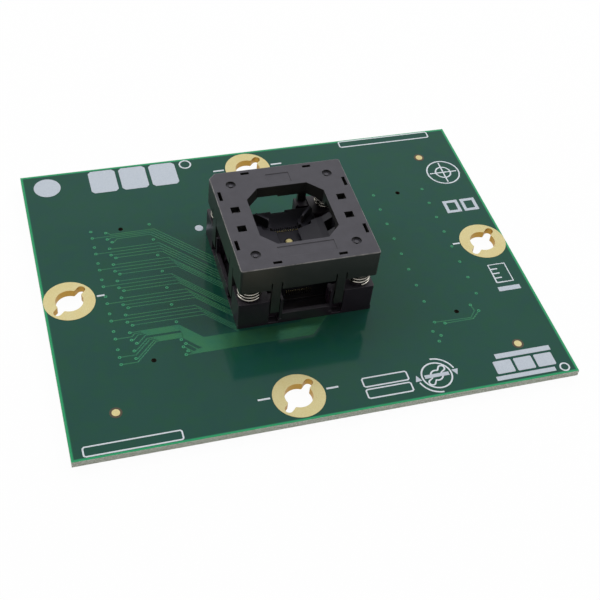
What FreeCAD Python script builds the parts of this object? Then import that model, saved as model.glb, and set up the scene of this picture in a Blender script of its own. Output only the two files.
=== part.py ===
import FreeCAD, Part
import math
import os

# Programmer adapter socket: a square chip socket on a green card that twists onto a programmer.
# All sizes are in millimetres. X runs to the right along the card's front edge, Y to the back
# and Z up. The pieces are drawn with z = 0 on the card's top face, below the middle of the
# socket, and lifted at the end so that the solder tips stand on z = 0.

V = FreeCAD.Vector
ORIGIN = V(0, 0, 0)
X_AXIS = V(1, 0, 0)
Y_AXIS = V(0, 1, 0)
Z_AXIS = V(0, 0, 1)

# Card
CARD_X = 108.2
CARD_Y = 82.5
CARD_T = 1.6
TAIL_DROP = 0.8
PLATING = 0.06

# Keyhole holes of the twist lock
LOCK_BORE_R = 3.0
LOCK_RING_R = 5.55
LOCK_SLOT_W = 1.8
LOCK_SLOT_REACH = 5.0
LOCK_ROUND = 0.3
LOCK_SLOT_ANGLE = 45.0
LOCK_PLACES = {
    "left": (-48.5, 0.0),
    "right": (48.5, 0.0),
    "front": (-7.0, -35.0),
    "back": (0.0, 35.0),
}

# Small marks, holes and pads of the card
DRILL_X = 34.0
DRILL_Y = 19.8
DRILL_R = 0.55
FIDUCIAL_R = 0.85
FIDUCIALS = [(43.9, 31.4), (43.9, -31.4), (-43.9, -31.4)]
PAD_R = 0.8
PAD_COLUMNS = (27.8, 40.5)
PAD_ROWS = 17
PAD_PITCH = 2.54

# Contacts: a stamped strip bent in one upright plane, given along the front row
CONTACTS = 12
PITCH = 0.5
STRIP_T = 0.2
STRIP_W = 0.34
SIDE_GAP = 0.03
TIP_U = 3.35
STEM_U = 9.2
TAIL_ROWS = (9.2, 8.0, 6.8)
TAIL_HOLE_R = 0.3
SOLDER_R = 0.5
SOLDER_TIP_R = 0.27

# Heights of the stack above the card
GUIDE_TOP = 1.2
FLANGE_TOP = 2.0
HOUSING_TOP = 7.1
NEST_BOTTOM = 7.6
SEAT = 8.9
TIP_TOP = 9.1

# Tail guide plate, contact housing and nest
GUIDE_HALF = 10.0
FLANGE_HALF = 10.6
HOUSING_HALF = 9.3
HOUSING_X = 8.1
ARM_HALF = 3.3
NEST_X = 7.9
NEST_Y = 10.0
NEST_NOTCH = 1.65
POST_X = 6.9
POST_Y = 8.0
POST_R = 0.8
NEST_SPRING_AT = (5.6, 6.0)
NEST_SPRING_R = 0.9
NEST_SPRING_WIRE = 0.2
NEST_SPRING_TURNS = 6.0
NEST_SPRING_FOOT = 3.5
HOOK_X = (4.0, 5.2)
HOOK_GAP = 0.1

# Corner guides of the nest, for a package 7 mm square
PACKAGE_HALF = 3.6
GUIDE_WALL_TOP = 10.2
FIN_TOP = 12.7
FIN_W = 0.5
FIN_REACH = 6.6
CORNER_WALLS = [(PACKAGE_HALF, 2.8), (4.6, 2.8), (6.9, 5.1), (6.9, 6.9),
                (5.1, 6.9), (3.1, 4.7), (3.1, PACKAGE_HALF), (PACKAGE_HALF, PACKAGE_HALF)]

# Ground pin
PIN_HEAD_R = 0.8
PIN_HOLE_R = 1.05
PIN_TOP = 9.2
BARREL_R = 0.95
BARREL_BORE_R = 0.65
BARREL_TOP = 7.0
BARREL_FLOOR = 1.7
PIN_SPRING_TOP = 5.85
PIN_SPRING_R = 0.5
PIN_SPRING_WIRE = 0.16
PIN_SPRING_TURNS = 9.0

# Base
BASE_HALF = 15.05
BASE_ROUND = 0.35
FRAME_HALF = 10.1
BLOCK_X = 8.25
BLOCK_Y = 9.1
BLOCK_TOP = 7.4
SILL_HALF = 5.2
SILL_T = 0.9
SILL_TOP = 2.9
CHANNEL_FLOOR = 0.5
JAMB_X = (5.3, 5.9)
JAMB_TOP = 7.4
CHANNEL_PLAY = 0.13
LEDGE_PLAY = 0.08
LEDGE_BOTTOM = 4.9
LEDGE_TOP = 7.0
PEG_PLACES = [(-13.0, 13.0), (13.0, -13.0)]
PEG_R = 0.8

# Cover
COVER_HALF = 15.15
COVER_BOTTOM = 10.9
COVER_TOP = 17.8
COVER_SLAB = 1.5
COVER_INSIDE_X = 13.45
COVER_INSIDE_Y = 13.1
COVER_CHAMFER = 1.5
COVER_ROUND = 0.5
COVER_TOP_ROUND = 0.25
OPENING_HALF = 8.7
OPENING_CHAMFER = 3.1
RIM_W = 0.8
RIM_BOTTOM = 14.65
RIM_NOTCH = (-5.5, -0.75)
RIM_NOTCH_H = 0.4
LEG_BOTTOM = 3.7
HOOK_TOP = 4.8
FRONT_LEG_X = 7.1
FRONT_LEG_W = 1.9
FRONT_SLOT = (13.55, 14.25)
SIDE_LEG_Y = 7.6
SIDE_LEG_W = 2.8
SIDE_SLOT = (13.75, 14.5)
LEG_PLAY = 0.1
SLIT_W = 0.3
SLIT_H = 2.0
CAM_BOTTOM = 11.2
CAM_Y = (3.85, 4.6)
CAM_X = 12.4
HOLE_X = 11.9
HOLE_Y = 2.9
RECESS_AT = (11.0, 10.85)
RECESS_R = 1.1
RECESS_DEPTH = 0.55
RECESS_STUB_R = 0.45
RECESS_STUB_H = 0.25
TOP_HOLE_HALF = (0.95, 0.9)
BACK_PANEL = (-2.75, 2.5, 9.55, 12.77)
FRONT_PANEL = (-6.1, 6.3, -12.6, -9.6)
PANEL_DEPTH = 0.12

# Cover springs
SPRING_AT = 12.15
SPRING_OD = 5.3
SPRING_WIRE = 0.45
SPRING_POCKET_R = 2.75
BOSS_WALL = 0.7
SPRING_POCKET_TOP = 15.0
SPRING_TURNS = 8.0
SPIGOT_R = 2.0
SPIGOT_H = 1.2

# Latches: upright outlines, in X and Z, of the right latch, turned for the left one
LATCH_PIVOT = (9.8, 7.6)
LATCH_HUB_R = 1.4
LATCH_BORE_R = 0.78
SHAFT_R = 0.75
LATCH_HALF_W = 3.3
NOSE_HALF_W = 2.4
NOSE_BACK_X = 5.6
TAIL_HALF_W = 4.7
LATCH_ARM = [(2.5, 10.1), (2.5, 9.85), (2.75, 9.6), (3.55, 9.6), (4.1, 9.3), (8.1, 9.2), (8.6, 8.2),
             LATCH_PIVOT, (11.0, 8.3), (10.9, 10.6), (10.4, 12.9), (9.9, 13.35), (8.1, 12.1), (6.7, 11.75)]
LATCH_TAIL = [LATCH_PIVOT, (10.6, 9.0), (12.1, 9.4), (12.7, 9.4), (12.7, 8.8), (11.0, 7.2)]
LATCH_WINGS = [(11.8, 8.4), (11.8, 9.3), (12.1, 9.4), (12.7, 9.4), (12.7, 8.8), (12.28, 8.4)]
LUG = (3.6, 5.1)
LUG_R = 1.45
LUG_FOOT_X = 13.9
LUG_SLOPE_TOP = 4.6
WINDOW_HALF_Y = 1.45
WINDOW_X = (8.1, 9.9)
LATCH_WIRE = 0.3
LATCH_COIL_R = 1.1
LATCH_TURNS = 7.0


# Plain shapes

def box(x0, x1, y0, y1, z0, z1):
    """A block between two opposite corners."""
    return Part.makeBox(x1 - x0, y1 - y0, z1 - z0, V(x0, y0, z0))


def centred(half_x, half_y, z0, z1):
    """A block centred on the Z axis."""
    return box(-half_x, half_x, -half_y, half_y, z0, z1)


def rod(x, y, r, z0, z1):
    """An upright cylinder."""
    return Part.makeCylinder(r, z1 - z0, V(x, y, z0))


def cross_rod(x, z, r, y0, y1):
    """A cylinder lying along Y."""
    return Part.makeCylinder(r, y1 - y0, V(x, y0, z), Y_AXIS)


def plate(points, z0, z1):
    """A flat outline raised along Z."""
    corners = [V(x, y, z0) for x, y in points]
    face = Part.Face(Part.makePolygon(corners + corners[:1]))
    return face.extrude(V(0, 0, z1 - z0))


def upright(points, y0, y1):
    """An outline in X and Z, stretched along Y."""
    corners = [V(x, y0, z) for x, z in points]
    face = Part.Face(Part.makePolygon(corners + corners[:1]))
    return face.extrude(V(0, y1 - y0, 0))


def joined(shapes):
    """One solid from touching or crossing shapes."""
    return shapes[0].fuse(list(shapes[1:])).removeSplitter()


def cut(shape, tools):
    """The shape without its tools."""
    return shape.cut(Part.makeCompound(list(tools)))


def turned(shape, degrees):
    """A copy turned about the Z axis."""
    copy = shape.copy()
    copy.rotate(ORIGIN, Z_AXIS, degrees)
    return copy


def in_corners(shape):
    """The shape and its mirror images in the other three corners."""
    across = shape.mirror(ORIGIN, X_AXIS)
    return [shape, across, shape.mirror(ORIGIN, Y_AXIS), across.mirror(ORIGIN, Y_AXIS)]


def upright_edges(shape, x, y, reach):
    """The upright edges near one point in plan."""
    found = []
    for edge in shape.Edges:
        a = edge.Vertexes[0].Point
        b = edge.Vertexes[-1].Point
        vertical = abs(a.x - b.x) < 1e-6 and abs(a.y - b.y) < 1e-6 and abs(a.z - b.z) > 1e-6
        if vertical and math.hypot(a.x - x, a.y - y) < reach:
            found.append(edge)
    return found


def coil(x, y, z0, z1, mean_r, wire, turns):
    """A coil spring that stands between two heights, with one face for each turn."""
    height = z1 - z0 - 2 * wire
    helix = Part.makeLongHelix(height / turns, height, mean_r)
    section = Part.Wire(Part.makeCircle(wire / 2, V(mean_r, 0, 0), Y_AXIS))
    spring = Part.Wire(helix.Edges).makePipeShell([section], True, True)
    spring.translate(V(x, y, z0 + wire))
    return spring


# Card

def keyhole(x, y, grow, z0, z1):
    """The round hole with its two slots, larger all round by grow."""
    r = LOCK_BORE_R + grow
    half_w = LOCK_SLOT_W / 2 + grow
    ends = LOCK_SLOT_REACH - LOCK_SLOT_W / 2
    slot = [box(-ends, ends, -half_w, half_w, z0, z1)]
    slot += [rod(side * ends, 0, half_w, z0, z1) for side in (-1, 1)]
    hole = joined([rod(0, 0, r, z0, z1)] + slot)
    neck = math.sqrt(r * r - half_w * half_w)
    corners = []
    for side_x in (-1, 1):
        for side_y in (-1, 1):
            corners += upright_edges(hole, side_x * neck, side_y * half_w, 0.05)
    hole = hole.makeFillet(LOCK_ROUND - grow, corners)
    hole.rotate(ORIGIN, Z_AXIS, LOCK_SLOT_ANGLE)
    hole.translate(V(x, y, 0))
    return hole


def tail_places():
    """Each contact's place along its row and its tail's distance from the middle."""
    first = -(CONTACTS - 1) / 2 * PITCH
    return [(first + i * PITCH, TAIL_ROWS[i % len(TAIL_ROWS)]) for i in range(CONTACTS)]


def four_rows(shapes):
    """The shapes of the front row, with their copies in the other three rows."""
    return [turned(shape, 90 * quarter) for quarter in range(4) for shape in shapes]


def circuit_board():
    card = centred(CARD_X / 2, CARD_Y / 2, -CARD_T, 0)
    low, high = -CARD_T - 1, 1
    holes = [keyhole(x, y, PLATING, low, high) for x, y in LOCK_PLACES.values()]
    holes += in_corners(rod(DRILL_X, DRILL_Y, DRILL_R, low, high))
    holes += [rod(x, y, PEG_R, low, high) for x, y in PEG_PLACES]
    holes += four_rows([rod(x, -u, TAIL_HOLE_R, low, high) for x, u in tail_places()])
    holes.append(rod(0, 0, SOLDER_R, low, high))
    return cut(card, holes)


def lock_ring(x, y):
    """The plated collar of one keyhole: a ring on each face and the lined wall."""
    low, high = -CARD_T - PLATING, PLATING
    rings = [rod(x, y, LOCK_RING_R, 0, high), rod(x, y, LOCK_RING_R, low, -CARD_T)]
    wall = keyhole(x, y, PLATING, -CARD_T, 0)
    return cut(joined([wall] + rings), [keyhole(x, y, 0, low - 1, high + 1)])


def fiducial_marks():
    return Part.makeCompound([rod(x, y, FIDUCIAL_R, 0, PLATING) for x, y in FIDUCIALS])


def contact_pads(side):
    """Round pads under the card, on one side of the socket."""
    pads = []
    for column in PAD_COLUMNS:
        for row in range(PAD_ROWS):
            y = (row - (PAD_ROWS - 1) / 2) * PAD_PITCH
            pads.append(rod(side * column, y, PAD_R, -CARD_T - PLATING, -CARD_T))
    return Part.makeCompound(pads)


# Contacts and solder

def strip(path, width):
    """The closed outline of a strip that follows a path of straight runs."""
    left, right = [], []
    for i, (u, z) in enumerate(path):
        before = path[max(i - 1, 0)]
        after = path[min(i + 1, len(path) - 1)]
        a = (u - before[0], z - before[1]) if i else (after[0] - u, after[1] - z)
        b = (after[0] - u, after[1] - z) if i < len(path) - 1 else a
        a_len, b_len = math.hypot(*a), math.hypot(*b)
        normal_a = (-a[1] / a_len, a[0] / a_len)
        normal_b = (-b[1] / b_len, b[0] / b_len)
        scale = 1 + normal_a[0] * normal_b[0] + normal_a[1] * normal_b[1]
        du = (normal_a[0] + normal_b[0]) / scale * width / 2
        dz = (normal_a[1] + normal_b[1]) / scale * width / 2
        left.append((u + du, z + dz))
        right.append((u - du, z - dz))
    return left + right[::-1]


def contact(x, tail_u):
    """One contact of the front row: tail, stem, spring arm and tip."""
    foot = GUIDE_TOP + 0.45
    path = [(tail_u, -CARD_T - TAIL_DROP), (tail_u, foot)]
    if tail_u < STEM_U:
        path.append((STEM_U, foot))
    path += [(STEM_U, 3.3), (5.4, 3.3), (4.5, 4.6), (5.0, 6.2), (TIP_U, 8.2), (TIP_U, TIP_TOP)]
    corners = [V(x - STRIP_T / 2, -u, z) for u, z in strip(path, STRIP_W)]
    face = Part.Face(Part.makePolygon(corners + corners[:1]))
    return face.extrude(V(STRIP_T, 0, 0))


def contact_row(quarter):
    row = [contact(x, u) for x, u in tail_places()]
    return Part.makeCompound([turned(shape, 90 * quarter) for shape in row])


def tail_hole(x, u, z0, z1, gap):
    """The upright room of one tail of the front row."""
    half_x = STRIP_T / 2 + gap
    half_y = STRIP_W / 2 + gap
    return box(x - half_x, x + half_x, -u - half_y, -u + half_y, z0, z1)


def solder_joints():
    """A plug and a cone of solder round each tail, and round the ground pin's tail."""
    tip = -CARD_T - TAIL_DROP
    joints = []
    for x, u in tail_places():
        plug = rod(x, -u, TAIL_HOLE_R, -CARD_T, 0)
        cone = Part.makeCone(SOLDER_TIP_R, SOLDER_R, TAIL_DROP, V(x, -u, tip))
        joints.append(cut(joined([plug, cone]), [tail_hole(x, u, tip - 1, 1, 0)]))
    joints = four_rows(joints)
    pin_plug = rod(0, 0, SOLDER_R, -CARD_T, 0)
    pin_cone = Part.makeCone(SOLDER_R, 2 * SOLDER_R, TAIL_DROP, V(0, 0, tip))
    joints.append(cut(joined([pin_plug, pin_cone]), [rod(0, 0, TAIL_HOLE_R, tip - 1, 1)]))
    return Part.makeCompound(joints)


# Inside of the socket

def corner_block_room():
    """The room that the base's corner blocks take from the plates inside it."""
    gap = 0.05
    return in_corners(box(BLOCK_X - gap, BASE_HALF, BLOCK_Y - gap, BASE_HALF, -1, HOUSING_TOP))


def tail_guide():
    body = centred(GUIDE_HALF, GUIDE_HALF, 0, GUIDE_TOP)
    rooms = four_rows([tail_hole(x, u, -1, GUIDE_TOP + 1, SIDE_GAP) for x, u in tail_places()])
    rooms.append(rod(0, 0, TAIL_HOLE_R + SIDE_GAP, -1, GUIDE_TOP + 1))
    return cut(body, rooms + corner_block_room())


def contact_housing():
    """A cross-shaped comb block on a flange, with a slot for every contact."""
    body = joined([
        centred(FLANGE_HALF, FLANGE_HALF, GUIDE_TOP, FLANGE_TOP),
        centred(HOUSING_X, HOUSING_HALF, GUIDE_TOP, HOUSING_TOP),
        centred(HOUSING_HALF, ARM_HALF - 0.1, GUIDE_TOP, LATCH_PIVOT[1] - LATCH_HUB_R - 0.3),
    ])
    half = STRIP_T / 2 + SIDE_GAP
    slots = []
    for x, _ in tail_places():
        slots.append(box(x - half, x + half, -8.8, -2.9, GUIDE_TOP - 1, HOUSING_TOP + 1))
        slots.append(box(x - half, x + half, -HOUSING_HALF - 0.2, -8.7, GUIDE_TOP - 1, 3.6))
    rooms = four_rows(slots)
    for sign_x in (-1, 1):
        for sign_y in (-1, 1):
            lug_y = sorted((sign_y * (LUG[0] - 0.1), sign_y * (LUG[1] + 0.1)))
            lug_x = sorted((sign_x * (HOUSING_X + 0.15), sign_x * (FLANGE_HALF + 1)))
            rooms.append(box(*lug_x, *lug_y, GUIDE_TOP - 1, HOUSING_TOP + 1))
    rooms += in_corners(rod(POST_X, POST_Y, POST_R + 0.05, 3.2, HOUSING_TOP + 1))
    spring_well = rod(*NEST_SPRING_AT, NEST_SPRING_R + 0.15, NEST_SPRING_FOOT, HOUSING_TOP + 1)
    rooms += in_corners(spring_well)
    groove_x = (HOOK_X[0] - HOOK_GAP, HOOK_X[1] + HOOK_GAP)
    rooms += in_corners(box(*groove_x, 8.8, HOUSING_HALF + 1, 4.3, 5.55))
    rooms.append(rod(0, 0, BARREL_R, GUIDE_TOP - 1, HOUSING_TOP + 1))
    return cut(body, rooms + corner_block_room())


def nest_corner():
    """One corner guide: two short walls round the package's corner and a diagonal fin."""
    walls = plate(CORNER_WALLS, SEAT, GUIDE_WALL_TOP)
    inner = (PACKAGE_HALF + 0.25) * math.sqrt(2)
    outer = FIN_REACH * math.sqrt(2)
    outline = [(inner, SEAT), (inner, FIN_TOP - 0.3), (inner + 0.3, FIN_TOP),
               (outer - 0.5, FIN_TOP), (outer, FIN_TOP - 0.8), (outer, SEAT)]
    fin = upright(outline, -FIN_W / 2, FIN_W / 2)
    return joined([walls, turned(fin, 45)])


def package_nest():
    """The floating plate with a slot for each contact tip, corner guides, posts and hooks."""
    body = centred(NEST_X, NEST_Y, NEST_BOTTOM, SEAT)
    parts = [body] + in_corners(nest_corner())
    parts += in_corners(rod(POST_X, POST_Y, POST_R, 3.7, NEST_BOTTOM))
    parts += in_corners(box(*HOOK_X, 9.4, NEST_Y, 4.9, NEST_BOTTOM))
    parts += in_corners(box(*HOOK_X, 8.9, 9.4, 4.9, 5.5))
    nest = joined(parts)
    half = STRIP_T / 2 + SIDE_GAP
    slots = [box(x - half, x + half, -4.5, -3.12, NEST_BOTTOM - 1, SEAT + 1) for x, _ in tail_places()]
    rooms = four_rows(slots)
    rooms.append(rod(0, 0, PIN_HOLE_R, NEST_BOTTOM - 1, SEAT + 1))
    for y in (-NEST_Y - 1, NEST_Y - 1):
        rooms.append(box(-NEST_NOTCH, NEST_NOTCH, y, y + 2, SEAT - 0.5, SEAT + 1))
    return cut(nest, rooms)


def ground_pin():
    """Head, stem, collar held under the barrel's neck, and a tail inside the spring."""
    head = rod(0, 0, PIN_HEAD_R, 8.2, PIN_TOP)
    top_edges = [edge for edge in head.Edges if edge.BoundBox.ZMin > PIN_TOP - 0.01]
    head = head.makeChamfer(0.2, top_edges)
    stem = rod(0, 0, 0.4, 6.0, 8.2)
    collar = rod(0, 0, 0.6, PIN_SPRING_TOP, 6.45)
    tail = rod(0, 0, 0.3, 3.0, PIN_SPRING_TOP)
    return joined([head, stem, collar, tail])


def ground_pin_barrel():
    body = joined([rod(0, 0, BARREL_R, GUIDE_TOP, BARREL_TOP),
                   rod(0, 0, TAIL_HOLE_R, -CARD_T - TAIL_DROP, GUIDE_TOP)])
    rooms = [rod(0, 0, BARREL_BORE_R, BARREL_FLOOR, 6.5), rod(0, 0, 0.44, 6.4, BARREL_TOP + 1)]
    return cut(body, rooms)


def ground_pin_spring():
    return coil(0, 0, BARREL_FLOOR, PIN_SPRING_TOP, PIN_SPRING_R, PIN_SPRING_WIRE, PIN_SPRING_TURNS)


def nest_spring():
    mean_r = NEST_SPRING_R - NEST_SPRING_WIRE / 2
    return coil(*NEST_SPRING_AT, NEST_SPRING_FOOT, NEST_BOTTOM, mean_r, NEST_SPRING_WIRE, NEST_SPRING_TURNS)


# Base

def base_corner():
    """One corner block with its spring spigot, for the corner at the right and back."""
    block = box(BLOCK_X, BASE_HALF, BLOCK_Y, BASE_HALF, 0, BLOCK_TOP)
    block = block.makeFillet(BASE_ROUND, upright_edges(block, BASE_HALF, BASE_HALF, 0.1))
    inner = upright_edges(block, BLOCK_X, BASE_HALF, 0.1) + upright_edges(block, BASE_HALF, BLOCK_Y, 0.1)
    block = block.makeFillet(0.2, inner)
    return joined([block, rod(SPRING_AT, SPRING_AT, SPIGOT_R, BLOCK_TOP - 0.1, BLOCK_TOP + SPIGOT_H)])


def base_channel(slot, near, far):
    """The wall behind a leg at the back, with the ledge that its hook catches, and a window jamb."""
    low_face = slot[0] - CHANNEL_PLAY
    ledge_face = slot[1] - LEDGE_PLAY
    wall = box(near, far, low_face - 1.0, low_face, 0, LEDGE_TOP)
    ledge = box(near, far, low_face - 0.1, ledge_face, LEDGE_BOTTOM, LEDGE_TOP)
    jamb = box(*JAMB_X, low_face - 1.0, BASE_HALF - 0.1, 0, JAMB_TOP)
    return joined([wall, ledge, jamb])


def latch_lugs():
    """The two right-hand lugs that carry a latch shaft."""
    px, pz = LATCH_PIVOT
    outline = [(px - LUG_R, GUIDE_TOP), (LUG_FOOT_X, GUIDE_TOP), (px + LUG_R, LUG_SLOPE_TOP),
               (px + LUG_R, pz), (px - LUG_R, pz)]
    lugs = []
    for y0, y1 in (LUG, (-LUG[1], -LUG[0])):
        lug = joined([upright(outline, y0, y1), cross_rod(px, pz, LUG_R, y0, y1)])
        lugs.append(cut(lug, [cross_rod(px, pz, SHAFT_R, y0 - 1, y1 + 1)]))
    return lugs


def socket_base():
    frame = centred(BASE_HALF, BASE_HALF, 0, GUIDE_TOP)
    frame = cut(frame, [centred(FRAME_HALF, FRAME_HALF, -1, GUIDE_TOP + 1)])
    parts = [frame] + in_corners(base_corner())
    parts += in_corners(base_channel(FRONT_SLOT, SILL_HALF, BLOCK_X + 0.1))
    side = turned(base_channel(SIDE_SLOT, SILL_HALF, BLOCK_Y + 0.1), -90)
    parts += in_corners(side)
    sill = box(-SILL_HALF - 0.1, SILL_HALF + 0.1, BASE_HALF - SILL_T, BASE_HALF, 0, SILL_TOP)
    parts += [turned(sill, 90 * quarter) for quarter in range(4)]
    for lug in latch_lugs():
        parts += [lug, turned(lug, 180)]
    parts += [rod(x, y, PEG_R, -CARD_T + 0.3, 0.1) for x, y in PEG_PLACES]
    base = joined(parts)
    outside = BASE_HALF + 1
    front_near = FRONT_LEG_X - FRONT_LEG_W / 2 - LEG_PLAY
    side_near = SIDE_LEG_Y - SIDE_LEG_W / 2 - LEG_PLAY
    front_face = FRONT_SLOT[0] - CHANNEL_PLAY
    side_face = SIDE_SLOT[0] - CHANNEL_PLAY
    rooms = in_corners(box(front_near, BLOCK_X, front_face, outside, CHANNEL_FLOOR, LEDGE_BOTTOM))
    rooms += in_corners(box(side_face, outside, side_near, BLOCK_Y, CHANNEL_FLOOR, LEDGE_BOTTOM))
    return cut(base, rooms)


# Cover

def octagon(half, chamfer, z0, z1):
    """A square plate with its corners cut off."""
    h, k = half, half - chamfer
    return plate([(h, -k), (h, k), (k, h), (-k, h), (-h, k), (-h, -k), (-k, -h), (k, -h)], z0, z1)


def leg(x0, x1, slot):
    """A leg at the back with the catch on its foot, sloped underneath so that it rides in."""
    inner, outer = slot
    strip_of_wall = box(x0, x1, outer, COVER_HALF, LEG_BOTTOM, COVER_BOTTOM + 0.1)
    corners = [(inner, HOOK_TOP), (outer + 0.1, HOOK_TOP), (outer + 0.1, LEG_BOTTOM),
               (outer - 0.1, LEG_BOTTOM), (inner, HOOK_TOP - 0.5)]
    outline = [V(x0, y, z) for y, z in corners]
    catch = Part.Face(Part.makePolygon(outline + outline[:1])).extrude(V(x1 - x0, 0, 0))
    return joined([strip_of_wall, catch])


def cover_legs():
    """A front leg and a side leg in every corner."""
    half = FRONT_LEG_W / 2
    front = leg(FRONT_LEG_X - half, FRONT_LEG_X + half, FRONT_SLOT)
    half = SIDE_LEG_W / 2
    side = leg(SIDE_LEG_Y - half, SIDE_LEG_Y + half, (SIDE_SLOT[0] + LEG_PLAY, SIDE_SLOT[1]))
    return in_corners(front) + in_corners(turned(side, -90))


def leg_slots(slot, centre, half, degrees):
    """The slot behind a leg, open through the top face, in every corner."""
    room = box(centre - half, centre + half, *slot, COVER_BOTTOM - 1, COVER_TOP + 1)
    return in_corners(turned(room, degrees))


def leg_slits(slot, centre, half, degrees):
    """The slits on both sides of a leg that let it spring, in every corner."""
    slits = []
    for x in (centre - half - SLIT_W, centre + half):
        slit = box(x, x + SLIT_W, slot[0], COVER_HALF + 1, COVER_BOTTOM - 1, COVER_BOTTOM + SLIT_H)
        slits += in_corners(turned(slit, degrees))
    return slits


def cover_shell():
    """The cover's outside: a block with one corner cut off and its other edges rounded."""
    half = COVER_HALF
    shell = centred(half, half, COVER_BOTTOM, COVER_TOP)
    shell = shell.makeChamfer(COVER_CHAMFER, upright_edges(shell, -half, half, 0.1))
    rounded = []
    for x, y in ((half, half), (half, -half), (-half, -half)):
        rounded += upright_edges(shell, x, y, 0.1)
    shell = shell.makeFillet(COVER_ROUND, rounded)
    top_edges = [edge for edge in shell.Edges if edge.BoundBox.ZMin > COVER_TOP - 0.01]
    return shell.makeFillet(COVER_TOP_ROUND, top_edges)


def cover_hollow(slab_bottom):
    """The room under the cover's slab, round the spring bosses, the cams and the rim."""
    boss = rod(SPRING_AT, SPRING_AT, SPRING_POCKET_R + BOSS_WALL, COVER_BOTTOM, slab_bottom)
    rim = octagon(OPENING_HALF + RIM_W, OPENING_CHAMFER + RIM_W * 0.586, RIM_BOTTOM, slab_bottom)
    rim = cut(rim, [centred(COVER_HALF, ARM_HALF + 0.3, RIM_BOTTOM - 1, slab_bottom),
                    box(*RIM_NOTCH, 8, 10, RIM_BOTTOM - 1, RIM_BOTTOM + RIM_NOTCH_H)])
    cam = box(CAM_X, COVER_INSIDE_X, *CAM_Y, CAM_BOTTOM, slab_bottom)
    hollow = centred(COVER_INSIDE_X, COVER_INSIDE_Y, COVER_BOTTOM - 1, slab_bottom)
    return cut(hollow, in_corners(boss) + in_corners(cam) + [rim])


def cover():
    """The press cover: a hollow square lid with an eight-sided opening."""
    slab_bottom = COVER_TOP - COVER_SLAB
    above = COVER_TOP + 1
    rooms = [cover_hollow(slab_bottom), octagon(OPENING_HALF, OPENING_CHAMFER, RIM_BOTTOM - 1, above)]
    spigot = rod(SPRING_AT, SPRING_AT, SPIGOT_R, SPRING_POCKET_TOP - SPIGOT_H, SPRING_POCKET_TOP)
    pocket = rod(SPRING_AT, SPRING_AT, SPRING_POCKET_R, COVER_BOTTOM - 1, SPRING_POCKET_TOP)
    rooms += in_corners(cut(pocket, [spigot]))
    for slot, centre, width, degrees in (
        (FRONT_SLOT, FRONT_LEG_X, FRONT_LEG_W, 0),
        (SIDE_SLOT, SIDE_LEG_Y, SIDE_LEG_W, -90),
    ):
        rooms += leg_slots(slot, centre, width / 2, degrees)
        rooms += leg_slits(slot, centre, width / 2, degrees)
    hole = centred(*TOP_HOLE_HALF, slab_bottom - 1, above)
    hole.translate(V(HOLE_X, HOLE_Y, 0))
    rooms += in_corners(hole)
    floor = COVER_TOP - RECESS_DEPTH
    stub = rod(*RECESS_AT, RECESS_STUB_R, floor, floor + RECESS_STUB_H)
    rooms += in_corners(cut(rod(*RECESS_AT, RECESS_R, floor, above), [stub]))
    rooms += [box(*panel, COVER_TOP - PANEL_DEPTH, above) for panel in (BACK_PANEL, FRONT_PANEL)]
    return joined([cut(cover_shell(), rooms)] + cover_legs())


def cover_spring():
    mean_r = (SPRING_OD - SPRING_WIRE) / 2
    return coil(SPRING_AT, SPRING_AT, BLOCK_TOP, SPRING_POCKET_TOP, mean_r, SPRING_WIRE, SPRING_TURNS)


# Latches

def latch():
    """The right latch: nose, arm, head plate with its window, hub and winged tail."""
    px, pz = LATCH_PIVOT
    body = joined([
        upright(LATCH_ARM, -LATCH_HALF_W, LATCH_HALF_W),
        cross_rod(px, pz, LATCH_HUB_R, -LATCH_HALF_W, LATCH_HALF_W),
        upright(LATCH_TAIL, -LATCH_HALF_W, LATCH_HALF_W),
        upright(LATCH_WINGS, -TAIL_HALF_W, TAIL_HALF_W),
    ])
    rooms = [box(2.0, NOSE_BACK_X, y, y + 1.0, 9.0, 12.5) for y in (NOSE_HALF_W, -NOSE_HALF_W - 1.0)]
    rooms.append(box(8.0, 13, -WINDOW_HALF_Y, WINDOW_HALF_Y, pz - 2, pz + 1.8))
    rooms.append(box(*WINDOW_X, -WINDOW_HALF_Y, WINDOW_HALF_Y, pz + 1.7, 14))
    rooms.append(cross_rod(px, pz, LATCH_BORE_R, -LATCH_HALF_W - 1, LATCH_HALF_W + 1))
    return cut(body, rooms)


def latch_shaft():
    px, pz = LATCH_PIVOT
    shaft = cross_rod(px, pz, SHAFT_R, -LUG[1] - 0.1, LUG[1] + 0.1)
    return shaft.makeChamfer(0.15, [edge for edge in shaft.Edges if edge.BoundBox.YLength < 0.01])


def latch_spring():
    """The torsion coil round the shaft, between the two knuckles."""
    px, pz = LATCH_PIVOT
    half = WINDOW_HALF_Y - 0.1
    spring = coil(0, 0, -half, half, LATCH_COIL_R, LATCH_WIRE, LATCH_TURNS)
    spring.rotate(ORIGIN, X_AXIS, 90)
    spring.translate(V(px, 0, pz))
    return spring


# The list of pieces

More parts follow.
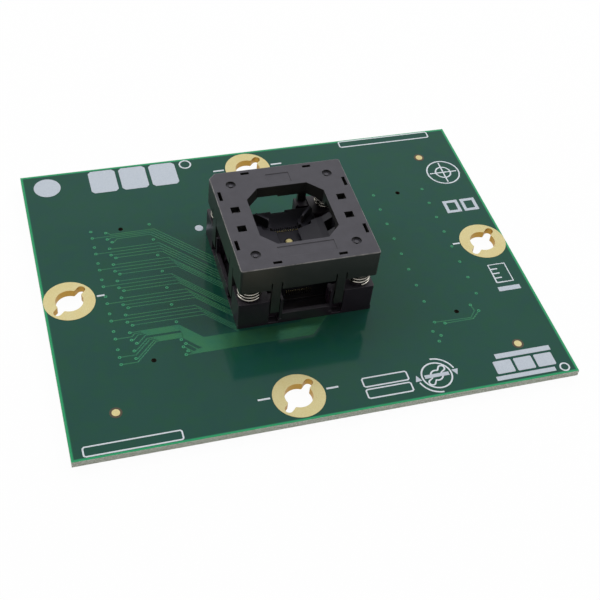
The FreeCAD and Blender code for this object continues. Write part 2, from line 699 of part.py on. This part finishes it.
def all_pieces():
    pieces = {
        "circuit_board": circuit_board(),
        "fiducial_marks": fiducial_marks(),
        "contact_pads_left": contact_pads(-1),
        "contact_pads_right": contact_pads(1),
        "solder_joints": solder_joints(),
        "socket_base": socket_base(),
        "tail_guide": tail_guide(),
        "contact_housing": contact_housing(),
        "package_nest": package_nest(),
        "ground_pin": ground_pin(),
        "ground_pin_barrel": ground_pin_barrel(),
        "ground_pin_spring": ground_pin_spring(),
        "cover": cover(),
    }
    for name, (x, y) in LOCK_PLACES.items():
        pieces["lock_ring_" + name] = lock_ring(x, y)
    for quarter, name in enumerate(("front", "right", "back", "left")):
        pieces["contact_row_" + name] = contact_row(quarter)
    for side, sign_x in (("left", -1), ("right", 1)):
        turn = 0 if sign_x > 0 else 180
        pieces["latch_" + side] = turned(latch(), turn)
        pieces["latch_shaft_" + side] = turned(latch_shaft(), turn)
        pieces["latch_spring_" + side] = turned(latch_spring(), turn)
    for quarter, corner in enumerate(("back_right", "back_left", "front_left", "front_right")):
        pieces["cover_spring_" + corner] = turned(cover_spring(), 90 * quarter)
    nest_springs = in_corners(nest_spring())
    for corner, spring in zip(("back_right", "back_left", "front_right", "front_left"), nest_springs):
        pieces["nest_spring_" + corner] = spring
    return pieces


os.makedirs("parts", exist_ok=True)
for node, shape in all_pieces().items():
    placed = shape.copy()
    placed.translate(V(0, 0, CARD_T + TAIL_DROP))
    placed.exportStep("parts/" + node + ".step")
    print(node, "valid" if placed.isValid() else "NOT VALID", len(placed.Solids), "solids",
          round(placed.Volume, 3), "mm3")
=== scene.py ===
import math

import bpy
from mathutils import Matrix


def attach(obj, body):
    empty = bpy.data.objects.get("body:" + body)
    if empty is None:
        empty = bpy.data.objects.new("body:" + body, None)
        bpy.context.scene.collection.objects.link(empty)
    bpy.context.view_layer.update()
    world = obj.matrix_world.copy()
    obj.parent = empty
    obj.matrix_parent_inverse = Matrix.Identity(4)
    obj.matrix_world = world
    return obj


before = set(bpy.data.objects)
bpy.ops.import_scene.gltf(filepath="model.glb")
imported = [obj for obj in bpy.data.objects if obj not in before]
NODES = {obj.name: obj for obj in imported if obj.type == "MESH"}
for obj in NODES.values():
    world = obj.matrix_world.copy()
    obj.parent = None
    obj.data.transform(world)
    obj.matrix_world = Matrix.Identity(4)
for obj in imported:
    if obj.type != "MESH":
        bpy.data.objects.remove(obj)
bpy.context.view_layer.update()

# Sizes and places in millimetres: X and Y from the middle of the socket, heights from the solder tips
CARD_FACE = 2.4
CARD_HALF = (54.1, 41.25)
EDGE_BAND = 0.55
HOLE_WALL_INSET = 0.5
# Below GOLD_FROM the contacts' colour is a painted shade in place of gold
GOLD_FROM, GOLD_FULL = 5.35, 5.6
INK = 0.035
COPPER = 0.025
FINE_TRACK = 0.25
FRONT_TRACK = 0.27
DASH_WIDTH = 0.45
OUTLINE_WIDTH = 0.36
VIA_RING = (0.38, 0.04)
VIA_CENTRE = (0.16, 0.05)
TURN_SIGN = (23.1, -35.95)

# Shares of light and of surface reflection
MASK_SHEEN = 0.2
FLOOR_GLOW = 0.97
SKY_LIGHT = 0.15
SKY_SEEN = 0.85

# Camera, at the photograph's place
CAMERA_AT = (-60.99, -164.14, 182.79)
CAMERA_TURN = (42.4346, -5.1465, -16.1087)
CAMERA_LENS = 66.727


# Materials

def tint(red, green, blue):
    """A colour from its 0 to 255 screen values, as the renderer's linear colour."""
    linear = []
    for channel in (red, green, blue):
        share = channel / 255
        linear.append(share / 12.92 if share <= 0.04045 else ((share + 0.055) / 1.055) ** 2.4)
    return (*linear, 1.0)


class Value:
    """A node's output that can be used in sums like a number."""

    def __init__(self, look, socket):
        self.look = look
        self.socket = socket

    def math(self, operation, *others):
        values = dict(enumerate((self, *others)))
        return self.look.node("Math", {"operation": operation}, values)

    def __add__(self, other):
        return self.math("ADD", other)

    def __sub__(self, other):
        return self.math("SUBTRACT", other)

    def __mul__(self, other):
        return self.math("MULTIPLY", other)

    def __gt__(self, other):
        return self.math("GREATER_THAN", other)

    def __radd__(self, other):
        return self.math("ADD", other)

    def __rmul__(self, other):
        return self.math("MULTIPLY", other)

    def __rsub__(self, other):
        return (self * -1) + other

    def __abs__(self):
        return self.math("ABSOLUTE")

    def either(self, other):
        return self.math("MAXIMUM", other)

    def both(self, other):
        return self.math("MINIMUM", other)

    def rise(self, low, high):
        """0 below low, 1 above high and a straight climb between them."""
        return self.look.node("MapRange", {"clamp": True}, {"Value": self, "From Min": low, "From Max": high})


class Look:
    """The nodes of one procedural material, or of the world."""

    def __init__(self, name, owner=None):
        self.owner = owner or bpy.data.materials.new(name)
        self.owner.use_nodes = True
        self.tree = self.owner.node_tree
        self.tree.nodes.clear()

    def node(self, kind, settings=None, inputs=None, output=0):
        made = self.tree.nodes.new("ShaderNode" + kind)
        for key, value in (settings or {}).items():
            setattr(made, key, value)
        for key, value in (inputs or {}).items():
            if isinstance(value, Value):
                self.tree.links.new(value.socket, made.inputs[key])
            else:
                made.inputs[key].default_value = value
        return Value(self, made.outputs[output]) if made.outputs else made

    def place(self):
        """The point's own X, Y and Z on the piece, in millimetres."""
        point = self.node("TexCoord", output="Object")
        apart = self.node("SeparateXYZ", None, {0: point})
        return [Value(self, apart.socket.node.outputs[axis]) * 1000 for axis in "XYZ"]

    def upward(self):
        """The upward share of the surface's own direction: 1 on top, 0 on a wall and -1 below."""
        facing = self.node("NewGeometry", output="Normal")
        return Value(self, self.node("SeparateXYZ", None, {0: facing}).socket.node.outputs["Z"])

    def noise(self, per_mm, detail, roughness, stretch=(1, 1, 1)):
        """A cloudy pattern with so many features per millimetre."""
        point = self.node("TexCoord", output="Object")
        moved = self.node("Mapping", None, {"Vector": point, "Scale": [1000 * per_mm * s for s in stretch]})
        inputs = {"Vector": moved, "Scale": 1.0, "Detail": detail, "Roughness": roughness}
        return self.node("TexNoise", None, inputs)

    def blend(self, share, first, second):
        """first where share is 0 and second where it is 1."""
        return self.node("Mix", {"data_type": "RGBA"}, {0: share, 6: first, 7: second}, output=2)

    def bump(self, height, depth_mm, strength, normal=None):
        inputs = {"Height": height, "Distance": depth_mm / 1000, "Strength": strength}
        if normal:
            inputs["Normal"] = normal
        return self.node("Bump", None, inputs)

    def soft_edges(self, radius_mm):
        """Normals that turn over each sharp edge, as on a moulding."""
        return self.node("Bevel", {"samples": 6}, {"Radius": radius_mm / 1000})

    def surface(self, **inputs):
        names = {key.replace("_", " ").title().replace("Ior", "IOR"): value for key, value in inputs.items()}
        shader = self.node("BsdfPrincipled", None, names)
        self.node("OutputMaterial", None, {"Surface": shader})
        return self.owner

    def looked_at(self):
        """1 for rays from the camera, a mirror or glass, and 0 for the light that falls on the object."""
        camera, glossy, clear = [
            self.node("LightPath", output=f"Is {kind} Ray") for kind in ("Camera", "Glossy", "Transmission")
        ]
        return camera.either(glossy).either(clear)


def solder_mask():
    """Glossy green mask with a pale line at the outline, a speckled fibre edge and dark hole walls."""
    look = Look("green_solder_mask")
    x, y, _ = look.place()
    face = abs(look.upward()) > 0.5
    inset_x = CARD_HALF[0] - abs(x)
    inset_y = CARD_HALF[1] - abs(y)
    inset = inset_x.both(inset_y)
    band = 1 - inset.rise(EDGE_BAND * 0.6, EDGE_BAND * 1.2)
    cloud = look.noise(0.06, 4.0, 0.6)
    blotch = look.noise(0.32, 3.0, 0.55)
    green = look.blend(cloud.rise(0.3, 0.7), tint(24, 73, 65), tint(29, 77, 65))
    green = look.blend(blotch.rise(0.42, 0.68) * 0.6, green, tint(25, 79, 56))
    green = look.blend(band, green, tint(44, 158, 104))
    speckle = look.noise(3.0, 5.0, 0.75, (1, 1, 2.5))
    layers = look.noise(1.2, 3.0, 0.6, (0.15, 0.15, 8))
    fibre = look.blend(speckle.rise(0.35, 0.6), tint(150, 156, 132), tint(236, 240, 230))
    fibre = look.blend(layers.rise(0.45, 0.7) * 0.45, fibre, tint(138, 152, 122))
    fibre = look.blend(inset > HOLE_WALL_INSET, fibre, tint(56, 46, 34))
    colour = look.blend(face, fibre, green)
    weave = look.noise(0.5, 2.0, 0.5)
    return look.surface(
        base_color=colour,
        roughness=0.75 - face * 0.65,
        normal=look.bump(weave, 0.006, 0.25),
        specular_ior_level=MASK_SHEEN,
    )


def masked_copper():
    """Copper under the green mask."""
    look = Look("masked_copper")
    cloud = look.noise(0.25, 3.0, 0.6)
    colour = look.blend(cloud.rise(0.3, 0.7), tint(48, 108, 84), tint(58, 116, 78))
    return look.surface(base_color=colour, metallic=0.45, roughness=0.24, specular_ior_level=MASK_SHEEN)


def via_green(name, dark, pale):
    """Mask over a plated hole."""
    look = Look(name)
    cloud = look.noise(0.8, 3.0, 0.6)
    colour = look.blend(cloud.rise(0.3, 0.7), tint(*dark), tint(*pale))
    return look.surface(base_color=colour, metallic=0.4, roughness=0.26, specular_ior_level=MASK_SHEEN)


def printed_ink(name, thin, full):
    look = Look(name)
    grain = look.noise(4.0, 4.0, 0.7)
    colour = look.blend(grain.rise(0.3, 0.7), tint(*thin), tint(*full))
    return look.surface(base_color=colour, roughness=0.55, normal=look.bump(grain, 0.01, 0.4))


def bare_laminate():
    look = Look("bare_laminate")
    grain = look.noise(2.0, 4.0, 0.7)
    colour = look.blend(grain.rise(0.35, 0.65), tint(52, 44, 30), tint(72, 60, 40))
    return look.surface(base_color=colour, roughness=0.5, normal=look.bump(grain, 0.01, 0.4))


def gold_plate():
    """Satin gold over copper, with the fine speckle of the plating and a painted shade of darker gold on the
    upright walls and in the holes.
    """
    look = Look("gold_plate")
    grain = look.noise(4.0, 5.0, 0.75)
    cloud = look.noise(0.3, 3.0, 0.6)
    colour = look.blend(grain.rise(0.3, 0.7), tint(198, 184, 130), tint(215, 205, 158))
    colour = look.blend(cloud.rise(0.4, 0.75) * 0.4, colour, tint(206, 184, 120))
    # Painted shade: upright faces, such as the hole walls, get a darker gold where less light falls
    colour = look.blend(1 - abs(look.upward()).rise(0.2, 0.7), colour, tint(186, 146, 64))
    return look.surface(
        base_color=colour,
        metallic=0.75,
        roughness=grain * 0.15 + 0.36,
        normal=look.bump(grain, 0.012, 0.5),
    )


def contact_gold():
    """Gold on the upper part of the contacts, and below it a painted shade: the stems are dark where they
    stand in the housing's slots.
    """
    look = Look("contact_gold")
    height = look.place()[2]
    grain = look.noise(6.0, 4.0, 0.7, (1, 1, 0.3))
    gold = look.blend(grain.rise(0.3, 0.7), tint(226, 208, 150), tint(240, 226, 176))
    # Painted shade: the contacts turn dark below GOLD_FROM, where the stems lie in shade in the housing
    shaded_stem = look.blend(grain.rise(0.3, 0.7), tint(66, 58, 42), tint(84, 76, 58))
    colour = look.blend(height.rise(GOLD_FROM, GOLD_FULL), shaded_stem, gold)
    return look.surface(base_color=colour, metallic=1.0, roughness=grain * 0.12 + 0.2,
                        normal=look.bump(grain, 0.004, 0.4))


def solder():
    look = Look("bright_solder")
    grain = look.noise(3.0, 4.0, 0.65)
    colour = look.blend(grain.rise(0.3, 0.7), tint(186, 188, 190), tint(214, 216, 218))
    return look.surface(base_color=colour, metallic=1.0, roughness=grain * 0.2 + 0.2,
                        normal=look.bump(grain, 0.02, 0.4))


def moulded_black(name, tone, lit_top_tone, sheen, edge_highlight=0.0):
    """Black moulded plastic: a matte grain and a painted lighter top, smoother walls and a painted highlight
    along the rounded edges.
    """
    look = Look(name)
    grain = look.noise(5.0, 3.0, 0.6)
    cloud = look.noise(0.35, 4.0, 0.6)
    up = look.upward()
    top = up.rise(0.3, 0.9)
    rounded = up.rise(0.1, 0.4) * (1 - up.rise(0.8, 0.98))
    mottle = cloud.rise(0.35, 0.7)
    walls = look.blend(mottle, tint(*tone), tint(*[v + 7 for v in tone]))
    # Painted light: the upward faces take a lighter top tone, as if lit from above
    lit_tops = look.blend(mottle, tint(*lit_top_tone), tint(*[v + 9 for v in lit_top_tone]))
    colour = look.blend(top, walls, lit_tops)
    # Painted highlight: a light grey line on the rounded top edges, as strong as edge_highlight
    colour = look.blend(rounded * cloud.rise(0.3, 0.6) * edge_highlight, colour, tint(150, 147, 144))
    return look.surface(
        base_color=colour,
        roughness=cloud * 0.08 + 0.32 + top * 0.12,
        normal=look.bump(grain, 0.012, 0.4, look.soft_edges(0.12)),
        specular_ior_level=sheen,
    )


def spring_wire():
    look = Look("spring_wire")
    grain = look.noise(2.0, 3.0, 0.6)
    colour = look.blend(grain.rise(0.3, 0.7), tint(136, 131, 123), tint(178, 174, 166))
    return look.surface(base_color=colour, metallic=1.0, roughness=grain * 0.12 + 0.12)


def ground_steel():
    look = Look("ground_steel")
    lines = look.noise(5.0, 3.0, 0.6, (1, 0.05, 1))
    colour = look.blend(lines.rise(0.3, 0.7), tint(168, 168, 170), tint(198, 198, 200))
    return look.surface(base_color=colour, metallic=1.0, roughness=lines * 0.15 + 0.25)


# Modelling helpers

def mm(*values):
    return tuple(v / 1000 for v in values)


def deselect():
    if bpy.context.object and bpy.context.object.mode != "OBJECT":
        bpy.ops.object.mode_set(mode="OBJECT")
    bpy.ops.object.select_all(action="DESELECT")


def keep(name, body, material):
    """Fix the selected piece's place in its mesh, name it and hand it to its body."""
    piece = bpy.context.object
    bpy.ops.object.transform_apply(location=True, rotation=True, scale=True)
    piece.name = name
    piece.data.name = name
    piece.data.materials.clear()
    piece.data.materials.append(material)
    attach(piece, body)


def route(lines):
    """A mesh of open lines, each extruded from point to point."""
    deselect()
    bpy.ops.mesh.primitive_circle_add(vertices=3, radius=0.001)
    bpy.ops.object.mode_set(mode="EDIT")
    bpy.ops.mesh.select_mode(type="VERT")
    bpy.ops.mesh.delete(type="VERT")
    for points in lines:
        bpy.ops.mesh.select_all(action="DESELECT")
        bpy.ops.mesh.primitive_circle_add(vertices=3, radius=0.001, location=mm(*points[0], 0))
        bpy.ops.mesh.merge(type="CENTER")
        for here, there in zip(points, points[1:]):
            step = mm(there[0] - here[0], there[1] - here[1], 0)
            bpy.ops.mesh.extrude_vertices_move(TRANSFORM_OT_translate={"value": step})
    bpy.ops.object.mode_set(mode="OBJECT")
    return bpy.context.object


def set_on_card(piece):
    """Lift a piece modelled at zero height to the card's face."""
    piece.location = mm(0, 0, CARD_FACE)
    bpy.ops.object.transform_apply(location=True, rotation=True, scale=True)
    return piece


def strokes(lines, width, height):
    """Flat raised lines along open routes on the card's face."""
    route(lines)
    bpy.ops.object.convert(target="CURVE")
    piece = bpy.context.object
    piece.data.dimensions = "3D"
    piece.data.bevel_depth = width / 2000
    piece.data.bevel_resolution = 2
    piece.data.use_fill_caps = True
    bpy.ops.object.convert(target="MESH")
    piece = bpy.context.object
    piece.scale = (1, 1, 2 * height / width)
    return set_on_card(piece)


def patch(points, height):
    """A flat raised field inside an outline on the card's face."""
    piece = route([points])
    bpy.ops.object.mode_set(mode="EDIT")
    bpy.ops.mesh.select_all(action="SELECT")
    bpy.ops.mesh.edge_face_add()
    bpy.ops.mesh.extrude_region_move(TRANSFORM_OT_translate={"value": mm(0, 0, height)})
    bpy.ops.mesh.select_all(action="SELECT")
    bpy.ops.mesh.normals_make_consistent(inside=False)
    bpy.ops.object.mode_set(mode="OBJECT")
    return set_on_card(piece)


def oblong(x0, x1, y0, y1, corner=0.0):
    """The outline of an upright oblong, with its corners cut by corner."""
    if not corner:
        return [(x0, y0), (x1, y0), (x1, y1), (x0, y1)]
    c = corner
    return [(x0 + c, y0), (x1 - c, y0), (x1, y0 + c), (x1, y1 - c),
            (x1 - c, y1), (x0 + c, y1), (x0, y1 - c), (x0, y0 + c)]


def closed(points):
    return points + points[:1]


def arc(x, y, radius, start=0, end=360, steps=40):
    """Points along an arc, in degrees against the clock from the right."""
    angles = [math.radians(start + (end - start) * i / steps) for i in range(steps + 1)]
    return [(x + radius * math.cos(a), y + radius * math.sin(a)) for a in angles]


def disc(x, y, radius, height, sides):
    """A printed or plated dot with a softened rim."""
    deselect()
    bpy.ops.mesh.primitive_cylinder_add(vertices=sides, radius=radius / 1000, depth=height / 1000,
                                        location=mm(x, y, CARD_FACE + height / 2))
    piece = bpy.context.object
    bpy.ops.object.mode_set(mode="EDIT")
    bpy.ops.mesh.select_mode(type="FACE")
    bpy.ops.mesh.select_all(action="DESELECT")
    bpy.ops.object.mode_set(mode="OBJECT")
    for face in piece.data.polygons:
        face.select = face.normal.z > 0.9
    bpy.ops.object.mode_set(mode="EDIT")
    bpy.ops.mesh.inset(thickness=min(radius * 0.12, 0.08) / 1000)
    bpy.ops.transform.translate(value=mm(0, 0, height * 0.3))
    bpy.ops.object.mode_set(mode="OBJECT")
    return piece


def joined(pieces):
    """One piece from several meshes."""
    deselect()
    for piece in pieces:
        piece.select_set(True)
    bpy.context.view_layer.objects.active = pieces[0]
    bpy.ops.object.join()
    return bpy.context.object


def copies(piece, places):
    """The piece, made round the origin, and a copy with its own mesh at each place."""
    made = []
    for x, y in places:
        deselect()
        piece.select_set(True)
        bpy.context.view_layer.objects.active = piece
        bpy.ops.object.duplicate(linked=False)
        copy = bpy.context.object
        copy.location = (piece.location.x + x / 1000, piece.location.y + y / 1000, piece.location.z)
        made.append(copy)
    deselect()
    piece.select_set(True)
    bpy.context.view_layer.objects.active = piece
    bpy.ops.object.delete()
    return joined(made)


# Copper under the mask

CELL_PITCH = 5.09
HEADER_PITCH = 5.08
CELL_ROWS = (19.1, 17.97, 17.02, 15.95)
CELL_STARTS = (-37.5, -40.75, -37.5, -36.6)
CELL_TRACE_Y = [
    (18.5, 17.97, 17.46, 16.9),
    (13.85, 12.9, 11.95, 10.98),
    (8.9, 7.92, 6.9, 5.8),
    (3.75, 2.72, 1.66, 0.68),
    (-1.4, -2.4, -3.4, -4.3),
    (-6.5, -7.43, -8.42, -9.45),
]
CELL_BENDS = [
    (-8.0, -8.9, -9.8, -10.7),
    (-12.4, -13.3, -14.15, -15.0),
    (-16.15, -16.65, -17.2, -17.85),
    (-21.75, -22.3, -22.9, -23.5),
    (-24.6, -25.1, -25.65, -26.1),
    (-28.8, -29.3, -29.8, -30.35),
]
SOCKET_EDGE = -14.6
CLUSTER = [(-26.6, -16.73), (-27.3, -17.52), (-26.57, -18.79), (-27.14, -19.66)]


def via_places():
    """Every small plated hole of the card."""
    places = []
    for cell in range(8):
        drop = cell * CELL_PITCH
        places += [(-40.75, 20.1 - drop), (-40.75, 18.0 - drop)]
        places += [(-37.5, 19.1 - drop), (-37.5, 17.02 - drop)]
        places.append((-27.3, 20.15 - drop))
    places += [(-36.6, 15.95 - cell * CELL_PITCH) for cell in range(7)]
    places += [(-40.75, -19.57)] + CLUSTER
    for column in (27.8, 40.5):
        places += [(column, 20.0 - HEADER_PITCH * row) for row in range(8)]
    places += [(37.78, -18.65), (39.03, -20.61), (27.91, -21.85), (30.13, -22.59),
               (26.62, -24.3), (27.96, -25.75), (26.99, -27.22)]
    return places


def signal_lines():
    """The tracks from the left holes to the socket, along X and then at 45 degrees."""
    lines = []
    for cell, (rows, bends) in enumerate(zip(CELL_TRACE_Y, CELL_BENDS)):
        for lane, (y, corner) in enumerate(zip(rows, bends)):
            start_y = CELL_ROWS[lane] - cell * CELL_PITCH
            start_x = CELL_STARTS[lane]
            step = abs(y - start_y)
            points = [(start_x, start_y), (start_x + 0.4, start_y), (start_x + 0.4 + step, y)]
            points += [(corner - y, y), (SOCKET_EDGE, corner - SOCKET_EDGE)]
            lines.append(points)
    return lines


FRONT_STARTS = [(-37.5, -11.44), (-40.75, -12.6), (-37.5, -13.53), (-36.6, -14.5),
                (-37.5, -16.53), (-40.75, -17.6), (-37.5, -18.61), (-40.75, -19.57)]
FRONT_GATHERED = (-11.4, -11.85, -12.3, -12.75, -13.65, -14.05, -14.45, -14.85)
FRONT_BAND_TOP = -15.88
FRONT_BAND_PITCH = 0.37
FRONT_BAND_END = 0.5
FRONT_BAND_LOWEST = -19.7
SOCKET_FRONT = 15.1
HALF_MITRE = 0.414


def band_end(band):
    """The corner and the end of a front track, which turns up at 45 degrees to the socket."""
    corner = FRONT_BAND_END - HALF_MITRE * (band - FRONT_BAND_LOWEST)
    return [(corner, band), (corner - SOCKET_FRONT - band, -SOCKET_FRONT)]


def front_lines():
    """The tracks of the lowest holes, which gather and pass in front of the socket."""
    lines = []
    for lane, ((x, y), gathered) in enumerate(zip(FRONT_STARTS, FRONT_GATHERED)):
        level = x + (0.4 if x > -40 else 3.4)
        corner = -38.4 - 0.486 * lane
        band = FRONT_BAND_TOP - FRONT_BAND_PITCH * lane
        points = [(x, y), (level, y), (level + abs(gathered - y), gathered)]
        points += [(corner - gathered, gathered), (corner - band, band)]
        lines.append(points + band_end(band))
    for (x, y), band in zip(CLUSTER, (-18.85, -19.15, -19.4, -19.68)):
        lines.append([(x, y), (x + 0.2, y), (x + 0.2 + abs(band - y), band)] + band_end(band))
    return lines


def front_pours():
    """The closely packed front tracks' fields, read as plain copper from a distance."""
    upper = [(-35.6, -11.25), (-26.9, -11.25), (-26.9, -12.95), (-33.9, -12.95)]
    lower = [(-33.2, -13.5), (-26.8, -13.5), (-26.8, -15.0), (-31.7, -15.0)]
    band = [(-26.95, -11.25), (-22.5, -15.72), (-1.2, -15.72), (-0.6, -15.12), (5.2, -15.12),
            (0.55, -19.8), (-25.9, -19.8), (-24.6, -18.6), (-23.3, -18.55), (-26.85, -15.0)]
    return [patch(points, COPPER * 0.8) for points in (upper, lower, band)]


def right_lines():
    """The two short tracks at the front right."""
    return [
        [(37.78, -18.65), (38.11, -20.36), (36.49, -22.17), (27.91, -21.85)],
        [(39.03, -20.61), (36.89, -22.54), (30.13, -22.59)],
    ]


def copper():
    material = masked_copper()
    strokes(signal_lines() + right_lines(), FINE_TRACK, COPPER)
    keep("signal_tracks", "card", material)
    strokes(front_lines(), FRONT_TRACK, COPPER)
    keep("front_tracks", "card", material)
    joined(front_pours())
    keep("front_pours", "card", material)
    copies(disc(0, 0, *VIA_RING, 16), via_places())
    keep("via_rings", "card", via_green("via_ring", (56, 132, 98), (70, 148, 108)))
    copies(disc(0, 0, *VIA_CENTRE, 12), via_places())
    keep("via_centres", "card", via_green("via_centre", (26, 84, 60), (34, 98, 70)))


# White print

def turn_sign(x, y):
    """A keyhole in a ring between two turning arrows: the card's twist lock."""
    keyhole = arc(x, y, 1.3, 65, 205, 16) + arc(x - 1.6, y - 1.6, 0.7, 135, 315, 10)
    keyhole += arc(x, y, 1.3, 245, 385, 16) + arc(x + 1.6, y + 1.6, 0.7, -45, 135, 10)
    return [closed(keyhole), arc(x, y, 3.3), arc(x, y, 4.4, 90, 15, 16), arc(x, y, 4.4, 270, 195, 16)]


def turn_arrow_heads(x, y):
    """The bar and the two solid arrowheads of the sign."""
    head = [(x + 4.45, y - 0.75), (x + 3.55, y + 0.75), (x + 5.05, y + 0.85)]
    other = [(2 * x - px, 2 * y - py) for px, py in head]
    return [oblong(x - 2.75, x + 2.75, y - 0.45, y + 0.45), head, other]


def outlined_fields():
    """Plain blank fields, a target and the turn sign, as thin lines."""
    fields = [
        oblong(25.2, 49.2, 38.75, 40.85, 0.3), oblong(-51.6, -32.1, -40.5, -38.25, 0.3),
        oblong(46.6, 50.7, -13.4, -7.8), oblong(7.0, 16.9, -35.8, -33.5, 0.3),
        oblong(7.0, 16.9, -38.8, -36.5, 0.3),
    ]
    lines = [closed(field) for field in fields]
    lines += [arc(48.05, 25.0, 4.1), arc(48.05, 25.0, 1.9), arc(-14.8, 39.25, 1.35), arc(51.4, -39.6, 1.0)]
    lines += [[(44.5, 25.0), (51.6, 25.0)], [(48.05, 21.4), (48.05, 28.6)]]
    lines += [[(46.6, y), (48.4, y)] for y in (-12.0, -10.6, -9.2)]
    return lines + turn_sign(*TURN_SIGN)


def solid_fields():
    """The printed parts that are filled in: blank label cells and bars."""
    cells = [oblong(x, x + 6.4, 32.8, 40.5, 0.7) for x in (-38.4, -31.1, -23.8)]
    cells += [oblong(x, x + 4.2, -38.5, -35.1, 0.2) for x in (36.2, 41.0, 45.8)]
    cells += [oblong(37.4, 50.4, -34.5, -33.2), oblong(35.4, 49.2, -40.2, -39.1)]
    cells += [oblong(46.1, 51.5, -16.1, -14.8)]
    return [patch(points, INK) for points in cells + turn_arrow_heads(*TURN_SIGN)]


def heavy_squares():
    """Two small squares, each of four heavy bars."""
    bars = []
    for x in (43.8, 48.3):
        bars += [oblong(x, x + 3.8, 10.6, 11.4), oblong(x, x + 3.8, 14.0, 14.8)]
        bars += [oblong(x, x + 0.8, 11.4, 14.0), oblong(x + 3.0, x + 3.8, 11.4, 14.0)]
    return [patch(points, INK) for points in bars]


def print_marks():
    """Dots, alignment dashes, outlined and filled blank fields, and squares."""
    ink = printed_ink("white_print", (176, 186, 198), (198, 205, 214))
    line_ink = printed_ink("white_line_print", (206, 213, 221), (222, 227, 233))
    joined([disc(-48.4, 36.6, 3.1, INK, 64), disc(-16.3, 16.8, 0.95, INK, 32)])
    keep("printed_dots", "card", ink)
    dashes = [
        [(-42.55, 0.3), (-40.9, 0.3)], [(41.05, 0.4), (42.8, 0.4)],
        [(-15.6, -34.4), (-12.95, -34.4)], [(-0.95, -34.45), (1.65, -34.45)],
        [(-8.55, 35.5), (-5.9, 35.5)], [(6.0, 35.55), (8.7, 35.55)],
    ]
    strokes(dashes, DASH_WIDTH, INK)
    keep("printed_dashes", "card", line_ink)
    strokes(outlined_fields(), OUTLINE_WIDTH, INK)
    keep("printed_outlines", "card", line_ink)
    joined(heavy_squares())
    keep("printed_squares", "card", ink)
    joined(solid_fields())
    keep("printed_blocks", "card", ink)


def fiducial_windows():
    """The bare ring of laminate round each alignment dot."""
    window = disc(0, 0, 1.3, 0.02, 32)
    copies(window, [(43.9, 31.4), (43.9, -31.4), (-43.9, -31.4)])
    keep("fiducial_windows", "card", bare_laminate())


# The CAD nodes' finishes

def dress_nodes():
    # The cover's last number, 0.8, sets the strength of its painted edge highlight
    # The second colour of each plastic is a painted lighter top
    plastic = moulded_black("cover_plastic", (31, 31, 29), (42, 40, 48), 0.6, 0.8)
    base_plastic = moulded_black("base_plastic", (37, 25, 36), (36, 32, 38), 0.4)
    inner_plastic = moulded_black("nest_plastic", (26, 25, 29), (30, 29, 36), 0.3)
    gold = gold_plate()
    wire = spring_wire()
    finishes = {
        "circuit_board": solder_mask(),
        "cover": plastic,
        "socket_base": base_plastic,
        "package_nest": inner_plastic,
        "contact_housing": inner_plastic,
        "tail_guide": inner_plastic,
        "latch_": inner_plastic,
        "latch_shaft": ground_steel(),
        "latch_spring": wire,
        "cover_spring": wire,
        "nest_spring": wire,
        "ground_pin": gold,
        "ground_pin_spring": wire,
        "contact_row": contact_gold(),
        "contact_pads": gold,
        "fiducial": gold,
        "lock_ring": gold,
        "solder_joints": solder(),
    }
    for name, node in NODES.items():
        fits = [start for start in finishes if name.startswith(start)]
        material = finishes[max(fits, key=len)]
        if not node.material_slots:
            node.data.materials.append(material)
        for slot in node.material_slots:
            slot.material = material


# Floor, light and camera

def floor():
    """A wide pale floor under the solder tips."""
    deselect()
    bpy.ops.mesh.primitive_plane_add(size=6.0, location=(0, 0, -0.0002))
    plane = bpy.context.object
    plane.name = "pale_floor"
    bpy.ops.object.transform_apply(location=True, rotation=True, scale=True)
    look = Look("pale_floor")
    cloud = look.noise(0.01, 3.0, 0.5)
    pale = look.blend(cloud, tint(240, 240, 240), tint(246, 246, 246))
    paint = look.node("BsdfDiffuse", None, {"Color": pale})
    glow = look.node("Emission", None, {"Color": (1, 1, 1, 1), "Strength": 1.0})
    shader = look.node("MixShader", None, {0: look.looked_at() * FLOOR_GLOW, 1: paint, 2: glow})
    look.node("OutputMaterial", None, {"Surface": shader})
    plane.data.materials.append(look.owner)


def softbox(name, azimuth, elevation, distance, size, radiance):
    """A rectangular soft light that faces the socket; azimuth runs from the back (+Y) to the right."""
    turn, lift = math.radians(azimuth), math.radians(elevation)
    place = (distance * math.cos(lift) * math.sin(turn), distance * math.cos(lift) * math.cos(turn),
             distance * math.sin(lift))
    bpy.ops.object.light_add(type="AREA", location=place, rotation=(math.pi / 2 - lift, 0, math.pi - turn))
    lamp = bpy.context.object
    lamp.name = name
    lamp.data.shape = "RECTANGLE"
    lamp.data.size, lamp.data.size_y = size
    lamp.data.energy = radiance * math.pi * size[0] * size[1]
    return lamp


def studio():
    scene = bpy.context.scene
    air = Look("studio_air", bpy.data.worlds.new("studio_air"))
    scene.world = air.owner
    strength = air.looked_at() * SKY_SEEN + SKY_LIGHT
    sky = air.node("Background", None, {"Color": (1, 1, 1, 1), "Strength": strength})
    air.node("OutputWorld", None, {"Surface": sky})
    deselect()
    softbox("back_panel", 22, 47, 1.1, (1.7, 1.1), 1.8).visible_glossy = False
    softbox("left_softbox", -62, 45, 1.0, (0.45, 0.45), 4.0)
    softbox("right_softbox", 100, 45, 1.0, (0.45, 0.45), 4.0)
    scene.view_settings.view_transform = "Standard"


def camera():
    bpy.ops.object.camera_add(location=mm(*CAMERA_AT), rotation=[math.radians(v) for v in CAMERA_TURN])
    view = bpy.context.object
    view.name = "photo_view"
    view.data.sensor_width = 36.0
    view.data.lens = CAMERA_LENS
    view.data.clip_start = 0.01
    bpy.context.scene.camera = view


dress_nodes()
copper()
print_marks()
fiducial_windows()
floor()
studio()
camera()
